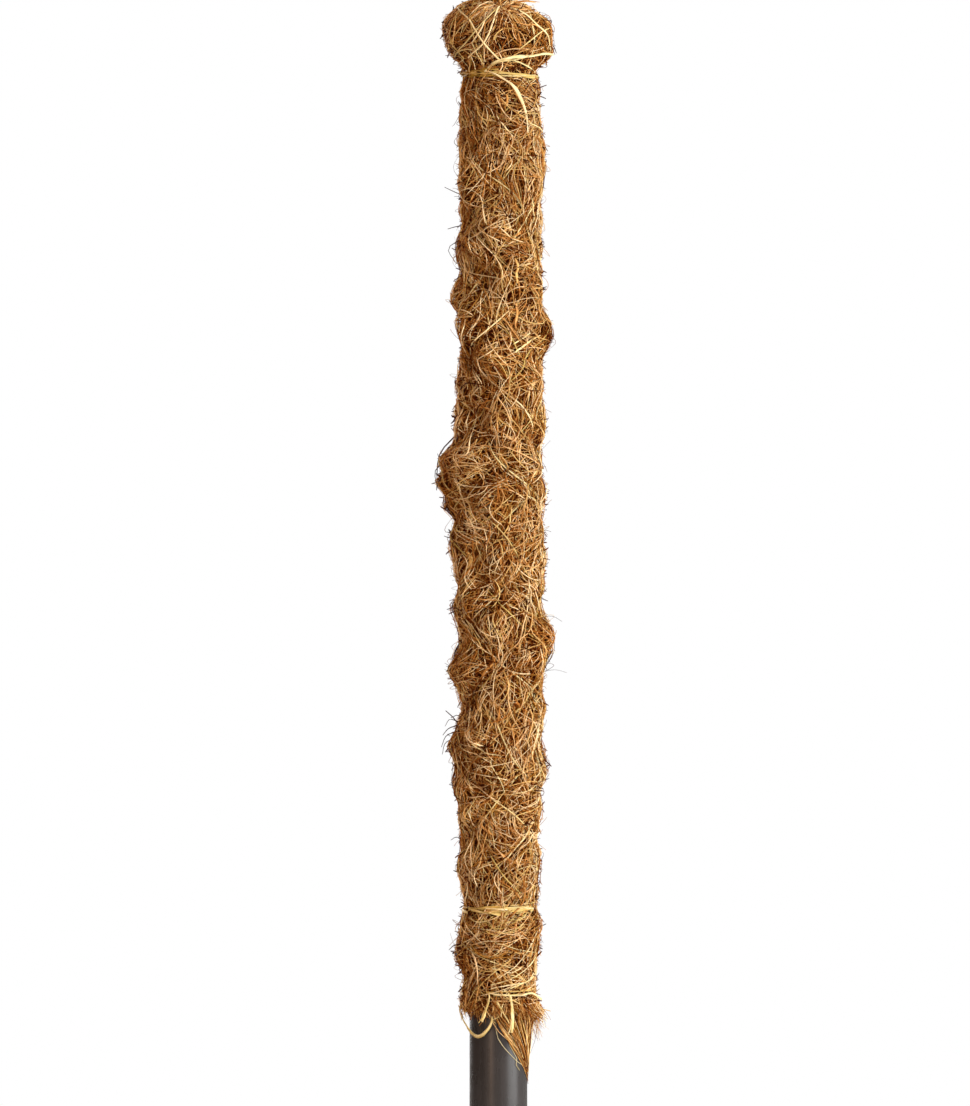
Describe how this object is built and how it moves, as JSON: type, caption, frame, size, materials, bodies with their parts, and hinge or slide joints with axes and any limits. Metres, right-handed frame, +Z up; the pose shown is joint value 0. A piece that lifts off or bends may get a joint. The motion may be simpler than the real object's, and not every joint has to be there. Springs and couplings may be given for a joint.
{
  "type": "moss pole",
  "caption": "Plant support pole: rigid tube wrapped in quilted coir with a rounded crown, bound by crossing threads and raffia ties, its lower end bare to push into soil.",
  "frame": {"origin": "middle of the tube's lower end, where the soil holds it", "axes": "+Z up along the pole; the front, where the loose ends of the ties hang, faces -Y; +X to the right seen from the front"},
  "size_m": [0.0494, 0.0466, 0.601],
  "materials": {
    "tube": "extruded dark grey plastic with a low sheen",
    "coir": "matted brown coir fibre",
    "wad_coir": "packed brown coir fibre, hidden",
    "thread": "pale golden natural thread",
    "raffia": "pale straw-coloured raffia"
  },
  "bodies": {
    "root": {"core_tube": "tube", "crown_wad": "wad_coir", "coir_sleeve": "coir", "coir_crown": "coir", "right_hand_thread_1": "thread", "right_hand_thread_2": "thread", "right_hand_thread_3": "thread", "right_hand_thread_4": "thread", "left_hand_thread_1": "thread", "left_hand_thread_2": "thread", "left_hand_thread_3": "thread", "left_hand_thread_4": "thread", "neck_tie": "raffia", "lower_tie": "raffia", "bottom_tie": "raffia", "crown_strand": "raffia", "crown_lashing_1": "thread", "crown_lashing_2": "thread", "hem_loop": "raffia", "hem_wisp": "coir"}
  },
  "joints": []
}
